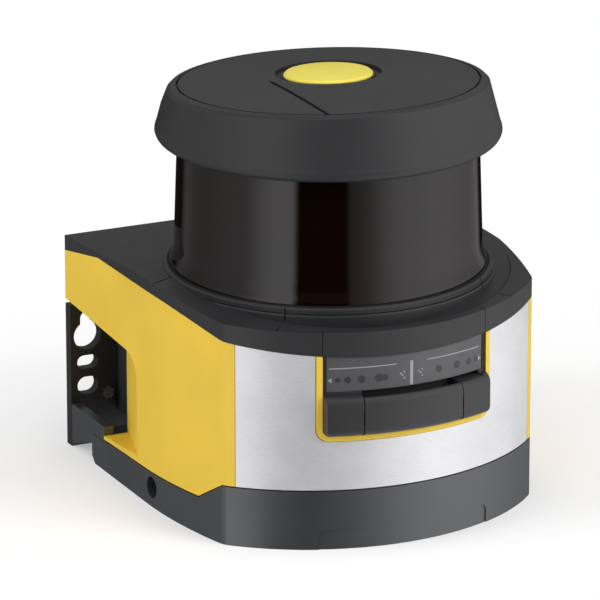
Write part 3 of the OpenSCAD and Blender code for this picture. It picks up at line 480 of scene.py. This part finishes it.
# %% [markdown]
# ## The cap's grooves
#
# The real cap's lid has one straight groove that starts beside the disc and runs into the rim
# groove, and a narrow gap all round the disc, deep enough to look black. A dark line in the
# material would be flat from the side, so both are cut by Booleans before the edges are
# rounded. The cutters are drawn in the lid's own frame, in millimetres, with Z up from the rim
# and tilted with the lid. The CAD cap has a shallow ring groove instead of the gap, which is
# closed, and a thin straight groove, which the new one widens.

# %% The lid's frame
CAP_FLANK_H = 19.7
LID_TILT = 3.2
LID_RISE = 3.2
LID_FLAT_R = 18.8
LID_SLOPE = 0.084

lid = (Matrix.Translation((0, 0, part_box("cap")[0].z + CAP_FLANK_H * MM))
       @ Matrix.Rotation(math.radians(-LID_TILT), 4, "X"))


def lid_height(radius):
    """The lid's height at a radius: flat, then a shallow cone."""
    return LID_RISE - max(0, radius - LID_FLAT_R) * LID_SLOPE


# %% Closed ring groove
RING_R = (22.3, 22.9)
RING_FLOOR = (2.1, 2.3)
RING_LEFT_DEEP = 0.03


def close_ring(work):
    """Lifts the floor of the ring groove almost to the lid's surface."""
    inverse = lid.inverted()
    count = 0
    for vert in work.verts:
        place = inverse @ vert.co
        radius = math.hypot(place.x, place.y) / MM
        on_floor = RING_FLOOR[0] < place.z / MM < RING_FLOOR[1]
        if on_floor and RING_R[0] < radius < RING_R[1]:
            place.z = (lid_height(radius) - RING_LEFT_DEEP) * MM
            vert.co = lid @ place
            count += 1
    print(count, "points of the ring groove lifted")


# %% Cutters
RING_SIDES = 144
ABOVE_LID = 8


def cutter(name, work):
    """The object of a cutter that was drawn in the lid's frame."""
    mesh = bpy.data.meshes.new(name)
    bmesh.ops.transform(work, matrix=lid, verts=work.verts)
    bmesh.ops.recalc_face_normals(work, faces=work.faces)
    work.to_mesh(mesh)
    work.free()
    return linked(name, mesh)


def ring_cutter(inner, outer, low, high):
    """A tube. Its corners are half a step off the axes, where the lid has corners of its own."""
    work = bmesh.new()
    turns = [2 * math.pi * (i + 0.5) / RING_SIDES for i in range(RING_SIDES)]
    loops = [
        [work.verts.new((r * MM * math.cos(t), r * MM * math.sin(t), z * MM)) for t in turns]
        for r, z in ((inner, low), (outer, low), (outer, high), (inner, high))]
    for one, two in zip(loops, loops[1:] + loops[:1]):
        for i in range(RING_SIDES):
            j = (i + 1) % RING_SIDES
            work.faces.new((one[i], one[j], two[j], two[i]))
    return cutter("ring", work)


def bar_cutter(x0, x1, y0, y1, floor0, floor1):
    """A bar along Y whose floor slopes from y0 to y1."""
    work = bmesh.new()
    corners = [work.verts.new((x * MM, y * MM, z * MM)) for x, y, z in (
        (x0, y0, floor0), (x1, y0, floor0), (x1, y1, floor1), (x0, y1, floor1),
        (x0, y0, ABOVE_LID), (x1, y0, ABOVE_LID), (x1, y1, ABOVE_LID), (x0, y1, ABOVE_LID))]
    for face in ((0, 1, 2, 3), (4, 5, 6, 7), (0, 1, 5, 4), (1, 2, 6, 5), (2, 3, 7, 6),
                 (3, 0, 4, 7)):
        work.faces.new([corners[i] for i in face])
    return cutter("bar", work)


# %% Cap
disc_gap = ring_cutter(inner=16.6, outer=18.7, low=1.9, high=6)
groove = bar_cutter(x0=-23.7, x1=-22.3, y0=-47.9, y1=-3.0, floor0=-0.9, floor1=1.6)
softened("cap", 0.2, charcoal_plastic, prepare=close_ring, cutters=[disc_gap, groove])

# %% [markdown]
# ## Shapes from a rule
#
# `Shape` is a Geometry Nodes tree whose sizes are named inputs, so one tree makes a family of
# shapes. A modifier knows an input by its identifier, not by its name, so the tree keeps both.
# Each tree ends in Realize Instances and Set Material, and the result is kept as a plain mesh.

# %% Shape
SMOOTH_DEGREES = 30


class Shape(Tree):
    """A Geometry Nodes tree in the making, with named inputs for its sizes in metres."""

    def __init__(self, name, *sizes):
        group = bpy.data.node_groups.new(name, "GeometryNodeTree")
        super().__init__(group)
        for side in ("INPUT", "OUTPUT"):
            group.interface.new_socket(
                "Geometry", in_out=side, socket_type="NodeSocketGeometry")
        self.keys = {
            label: group.interface.new_socket(
                label, in_out="INPUT", socket_type="NodeSocketFloat").identifier
            for label in sizes
        }
        start = group.nodes.new("NodeGroupInput")
        self.given = Value(group, start.outputs["Geometry"])
        self.size = {label: Value(group, start.outputs[label]) for label in sizes}

    def place(self):
        """The x, y and z of each point, as three values."""
        position = self.add("GeometryNodeInputPosition")
        return [self.add("ShaderNodeSeparateXYZ", {}, {"Vector": position}, out=letter)
                for letter in "XYZ"]

    def moved(self, geometry, x, y, z):
        target = self.add("ShaderNodeCombineXYZ", {}, {"X": x, "Y": y, "Z": z})
        return self.add(
            "GeometryNodeSetPosition", {}, {"Geometry": geometry, "Position": target})

    def merged(self, geometry):
        return self.add(
            "GeometryNodeMergeByDistance", {}, {"Geometry": geometry, "Distance": 0.005 * MM})

    def end(self, geometry, finish):
        real = self.add("GeometryNodeRealizeInstances", {}, {"Geometry": geometry})
        dressed = self.add("GeometryNodeSetMaterial", {}, {"Geometry": real, "Material": finish})
        stop = self.tree.nodes.new("NodeGroupOutput")
        self.tree.links.new(dressed.socket, stop.inputs["Geometry"])

    def make(self, name, slot, start=None, **sizes):
        """Runs the tree on a start mesh and keeps the result, on the root body."""
        thing = linked(name + "_draft", start or bpy.data.meshes.new(name))
        modifier = modified(thing, "shape", "NODES", node_group=self.tree)
        for label, value in sizes.items():
            modifier[self.keys[label]] = value
        piece = plain_mesh(thing, name, "root")
        piece.data.shade_smooth()
        piece.data.set_sharp_from_angle(angle=math.radians(SMOOTH_DEGREES))
        return piece


# %% [markdown]
# ## The optics window
#
# The real window is one moulding of infrared-clear plastic, a slightly conical ring with a
# flared foot. It could be spun from a drawn profile, but its shape follows a rule: the outer
# radius falls from the foot by a power of the height, then runs straight to the top. So a grid
# is bent round the axis. Its rows go up the outside and down the inside, closer together near
# the foot, where the profile curves, and its doubled edges are merged at the end.

# %% Window tree
WINDOW_SIDES = 180
WINDOW_STEPS = 20
FLARE_POWER = 2.5

ring = Shape("bent ring", "Foot", "Low", "Top", "Wall", "Base", "Height", "Rim", "Flare")
loop_rows = 2 * (WINDOW_STEPS + 1)
sheet = ring.add("GeometryNodeMeshGrid", {}, {
    "Size X": 1.0, "Size Y": 1.0, "Vertices X": WINDOW_SIDES + 1, "Vertices Y": loop_rows + 1})
across, along, _ = ring.place()
row = ((along + 0.5) * loop_rows).rounded().modulo(loop_rows)
inside = row > WINDOW_STEPS + 0.5
climb = (row + inside * (loop_rows - 1 - row * 2)) / WINDOW_STEPS
height = climb * climb * ring.size["Height"]
flare = 1 - ((height - ring.size["Rim"]) / ring.size["Flare"]).at_least(0.0).at_most(1.0)
straight = (ring.size["Top"] - ring.size["Low"]) * height / ring.size["Height"]
bulge = (ring.size["Foot"] - ring.size["Low"]) * flare ** FLARE_POWER
outer = ring.size["Low"] + straight + bulge
inner = ring.size["Low"] + straight - ring.size["Wall"]
radius = outer + inside * (inner - outer)
angle = (across + 0.5) * (2 * math.pi)
bent = ring.moved(
    sheet, radius * angle.cosine(), radius * angle.sine(), ring.size["Base"] + height)
ring.end(ring.merged(bent), window_glass)

# %% Window
low_corner, high_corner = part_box("window")
window = ring.make(
    "window_ring", SLOTS["window"], Foot=high_corner.x, Low=54.4 * MM, Top=52.8 * MM,
    Wall=2.6 * MM, Base=low_corner.z, Height=high_corner.z - low_corner.z,
    Rim=1 * MM, Flare=7 * MM)
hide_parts("window")

# %% [markdown]
# ## The indicator strip's marks
#
# On the real strip, dark symbols stand in front of the lamps, between thin lines, two arrows
# and a bright bar, all printed on the smoked lens. An image on the lens would be the usual way,
# but these few marks are plain shapes, so they are drawn flat, in millimetres along the strip
# and up. Their places along the strip are given as degrees round the front.

# %% Flat drawings
STRIP_R = 82.1
MARK_Z = 61.2


def along_strip(degrees):
    return math.radians(degrees) * STRIP_R


def bar(left, right_end, low_z, high_z, steps=1):
    """Quads side by side, as corner lists."""
    xs = [left + (right_end - left) * i / steps for i in range(steps + 1)]
    return [[(p, low_z), (q, low_z), (q, high_z), (p, high_z)] for p, q in zip(xs, xs[1:])]


def arrow(tip, length, half):
    """A triangle with its tip at one side, its corners in counter-clockwise order."""
    corners = [(tip, MARK_Z), (tip + length, MARK_Z + half), (tip + length, MARK_Z - half)]
    return [corners if length < 0 else corners[::-1]]


def flat_mesh(name, faces, dots):
    """Faces, and loose points that carry the size of their dot."""
    corners = [corner for face in faces for corner in face]
    mesh = bpy.data.meshes.new(name)
    first = [sum(len(face) for face in faces[:i]) for i in range(len(faces))]
    mesh.from_pydata(
        [(x * MM, 0, z * MM) for x, z in corners + [(x, z) for x, z, _ in dots]], [],
        [list(range(start, start + len(face))) for start, face in zip(first, faces)])
    size = mesh.attributes.new("size", "FLOAT", "POINT")
    size.data.foreach_set("value", [0.0] * len(corners) + [s for _, _, s in dots])
    return mesh


# %% [markdown]
# A second tree puts a small disc on each loose point, gives everything a thickness, and bends
# it round the front's radius. The long lines are drawn in sixteen steps, so that they can bend.

# %% Mark tree
DOT_SIDES = 20


def mark_tree(name, finish):
    marks = Shape(name, "Radius", "Centre", "Thickness", "Dot")
    size = marks.add("GeometryNodeInputNamedAttribute", {"data_type": "FLOAT"}, {"Name": "size"})
    dot = marks.add("GeometryNodeMeshCircle", {"fill_type": "NGON"}, {
        "Vertices": DOT_SIDES, "Radius": marks.size["Dot"]})
    dot = marks.add("GeometryNodeTransform", {}, {
        "Geometry": dot, "Rotation": (math.radians(90), 0, 0)})
    spots = marks.add("GeometryNodeMeshToPoints", {}, {
        "Mesh": marks.given, "Selection": size > 0})
    dots = marks.add("GeometryNodeInstanceOnPoints", {}, {
        "Points": spots, "Instance": dot, "Scale": size})
    dots = marks.add("GeometryNodeRealizeInstances", {}, {"Geometry": dots})
    faces = marks.add("GeometryNodeDeleteGeometry", {}, {
        "Geometry": marks.given, "Selection": size > 0})
    flat = marks.add("GeometryNodeJoinGeometry", {}, {"Geometry": [marks.merged(faces), dots]})
    front = marks.add("GeometryNodeExtrudeMesh", {}, {
        "Mesh": flat, "Offset Scale": marks.size["Thickness"], "Individual": False}, out="Mesh")
    rear = marks.add("GeometryNodeFlipFaces", {}, {"Mesh": flat})
    solid = marks.merged(marks.add("GeometryNodeJoinGeometry", {}, {"Geometry": [front, rear]}))
    x, y, z = marks.place()
    turn_by = x / marks.size["Radius"]
    reach = marks.size["Radius"] - y
    bent = marks.moved(
        solid, reach * turn_by.sine(), marks.size["Centre"] - reach * turn_by.cosine(), z)
    marks.end(bent, finish)
    return marks


MARK_SUNK = 0.02
MARK_SIZES = {"Radius": (STRIP_R - MARK_SUNK) * MM, "Centre": FRONT_CENTRE.y,
              "Thickness": 0.08 * MM, "Dot": 1 * MM}

# %% Light marks
LINE_LOW, LINE_HIGH, LINE_STEPS = 65.25, 65.6, 16
ARROW_TIP, ARROW_LENGTH, ARROW_HALF = 20.9, 1.3, 0.9
SPARK = 0.32

light_faces = (
    bar(along_strip(-20.6), along_strip(-4.0), LINE_LOW, LINE_HIGH, LINE_STEPS)
    + bar(along_strip(4.2), along_strip(20.2), LINE_LOW, LINE_HIGH, LINE_STEPS)
    + bar(-0.55, 0.55, 57.3, 66.0)
    + arrow(along_strip(-ARROW_TIP), ARROW_LENGTH, ARROW_HALF)
    + arrow(along_strip(ARROW_TIP), -ARROW_LENGTH, ARROW_HALF))
light_dots = [(along_strip(a) + dx, MARK_Z + dz, SPARK)
              for a in (-2.4, 2.4) for dx, dz in ((0, 0), (0.7, 1.1), (0.7, -1.1), (-0.7, 0.6))]
mark_tree("light marks", printed_white).make(
    "strip_light_marks", "strip_lens", flat_mesh("light", light_faces, light_dots), **MARK_SIZES)

# %% Dark marks
dark_dots = [(along_strip(a), MARK_Z, s) for a, s in (
    (-18.5, 0.9), (-16.1, 1.25), (-12.7, 1.4), (-8.4, 1.5), (-6.9, 1.2),
    (7.6, 1.35), (13.0, 1.4), (16.9, 1.25), (19.2, 0.9))]
mark_tree("dark marks", printed_dark).make(
    "strip_dark_marks", "strip_lens", flat_mesh("dark", [], dark_dots), **MARK_SIZES)

# %% [markdown]
# ## CAD nodes that keep their mesh
#
# The silver panel, the smoked lens, the disc and the screws have the right form already, and the
# pieces inside show only when the scanner is taken apart. So they keep the CAD mesh and take a
# finish, which goes in the mesh's own material slot.

# %% Finishes of the CAD nodes
FINISHES = {
    "front_panel": silver, "indicator_lens": smoked_lens, "cap_disc": lemon_plastic,
    "link_seal": rubber, "window_seal": rubber,
    "flap_pin": zinc, "unit_screws": zinc, "earth_screws": zinc, "chassis_screws": zinc,
    "service_socket": zinc, "rotor_bearings": zinc, "rotor_shaft": zinc,
    "chassis": cast, "cap_base": cast, "rotor_magnet": cast,
    "connector_sockets": nickel, "board_spacers": nickel, "motor_stator": copper,
    "connection_board": board_green, "indicator_board": board_green,
    "detector_board": board_green, "main_board": board_green,
    "board_chips": epoxy, "link_plug": epoxy, "emitter_module": epoxy,
    "wiring_column": epoxy, "mirror_carrier": epoxy,
    "indicator_lamps": lamp_plastic, "receiver_lens": lens_glass, "encoder_disc": lens_glass,
    "scan_mirror": mirror_coating,
}
for node, finish in FINISHES.items():
    materials = nodes[node].data.materials
    materials.clear()
    materials.append(finish)
print(len(FINISHES), "nodes keep their mesh")

# %% [markdown]
# ## Floor
#
# Such a scanner is shown on a white sweep. A curved backdrop could be modelled, but a flat floor
# and a white world behind it do the same. The floor's own shading carries the object's shadow.
# Away from the object it turns into plain white for the camera, so the sweep has no edge.

# %% Floor
FLOOR_HALF = 20
WHITE_SHARE = 0.35
SHADOW_FULL_TO = 0.08
SHADOW_GONE_AT = 0.25


def floor_finish():
    f = Finish("floor", Roughness=0.9, Specular_IOR_Level=0.1)
    f.set("Base Color", f.mix(f.noise(400, 2), (0.90, 0.90, 0.90), (0.93, 0.93, 0.93)))
    away = f.add("ShaderNodeVectorMath", {"operation": "LENGTH"}, {0: f.place}, out="Value")
    seen = f.add("ShaderNodeLightPath", out="Is Camera Ray")
    white = f.add("ShaderNodeEmission", {}, {"Color": (1, 1, 1, 1), "Strength": 1.0})
    shaded = Value(f.tree, f.surface.outputs[0])
    far = f.step(away, SHADOW_FULL_TO, SHADOW_GONE_AT)
    blend = f.add("ShaderNodeMixShader", {}, {
        0: seen * (WHITE_SHARE + (1 - WHITE_SHARE) * far), 1: shaded, 2: white})
    f.tree.links.new(blend.socket, f.tree.nodes["Material Output"].inputs["Surface"])
    return f.done()


def floor_plane():
    mesh = bpy.data.meshes.new("floor")
    h = FLOOR_HALF
    mesh.from_pydata([(-h, -h, 0), (h, -h, 0), (h, h, 0), (-h, h, 0)], [], [(0, 1, 2, 3)])
    mesh.materials.append(floor_finish())
    floor = linked("floor", mesh)
    floor.visible_glossy = False
    print("floor", 2 * h, "m wide")


floor_plane()

# %% [markdown]
# ## World
#
# The camera sees a plain white world. Matte pieces get a weaker, even light from it. Polished
# pieces mirror a studio of two white walls that fade into the dark beside the camera and
# behind the object: the dark between them draws the band down the middle of the window. Real
# walls could stand there, but as a world they cost no render time and cast no light of their
# own. Their ends are bearings from the camera's side, in degrees, positive to the right.

# %% World
class Sky(Tree):
    """The world's nodes."""

    def __init__(self):
        world = bpy.data.worlds.new("studio")
        scene.world = world
        world.use_nodes = True
        world.node_tree.nodes.clear()
        super().__init__(world.node_tree)
        self.place = self.add("ShaderNodeTexCoord", out="Generated")

    def toward(self, direction):
        return self.add("ShaderNodeVectorMath", {"operation": "DOT_PRODUCT"},
                        {0: self.place, 1: tuple(direction)}, out="Value")

    def ramp(self, value, low, high):
        return self.step(value, math.radians(low), math.radians(high))

    def ray(self, kind):
        return self.add("ShaderNodeLightPath", out=kind)


AMBIENT = 0.4
DARK = 0.012

flat_back = Vector((back.x, back.y, 0)).normalized()
sky = Sky()
around = sky.toward(right).bearing(sky.toward(flat_back))
left_wall = (0.2 * sky.ramp(around, -146, -132) + 0.25 * sky.ramp(around, -120, -66)
             + 0.80 * sky.ramp(around, -70, -38)) * (1 - sky.ramp(around, -28, -21))
right_wall = ((0.25 * sky.ramp(around, 12, 18) + 0.87 * sky.ramp(around, 18, 60))
              * (1 - 0.7 * sky.ramp(around, 78, 140)) * (1 - sky.ramp(around, 146, 158)))
above = sky.step(sky.toward((0, 0, 1)), 0.0, 0.25)
behind = sky.step(sky.toward(-flat_back), 0.0, 0.5)
walls = (left_wall + right_wall).at_least(above * (0.04 + 0.28 * behind))
mirrored = sky.ray("Is Glossy Ray")
seen = sky.ray("Is Camera Ray").at_least(sky.ray("Is Transmission Ray"))
strength = seen.at_least(mirrored * (DARK + walls))
strength = strength.at_least((1 - seen.at_least(mirrored)) * AMBIENT)
light = sky.add("ShaderNodeBackground", {}, {"Color": (1, 1, 1, 1), "Strength": strength})
output = sky.tree.nodes.new("ShaderNodeOutputWorld")
sky.tree.links.new(light.socket, output.inputs["Surface"])
print("world of", len(sky.tree.nodes), "nodes")


# %% [markdown]
# ## Lamps
#
# Three large soft lamps stand right, left and above. They are hidden from glossy rays, because
# their reflections would be hard squares, and the world's walls already stand for them there.

# %% Lamps
AIM = Vector((0, 0, 0.07))


def lamp(name, azimuth, elevation, distance, size, watts):
    """A soft square lamp, aimed at the object. Azimuth is measured from the camera's side."""
    flat = Matrix.Rotation(math.radians(azimuth), 3, "Z") @ flat_back
    rise = math.radians(elevation)
    spot = AIM + (flat * math.cos(rise) + Vector((0, 0, math.sin(rise)))) * distance
    data = bpy.data.lights.new(name, "AREA")
    data.shape = "SQUARE"
    data.size = size
    data.energy = watts
    thing = linked(name, data)
    thing.matrix_world = Matrix.Translation(spot) @ (AIM - spot).to_track_quat(
        "-Z", "Y").to_matrix().to_4x4()
    thing.visible_glossy = False
    print(name, watts, "W")


lamp("right lamp", 62, 28, 1.6, 0.9, 18)
lamp("left lamp", -70, 28, 1.6, 0.9, 13)
lamp("top lamp", 0, 80, 1.6, 1.0, 6)
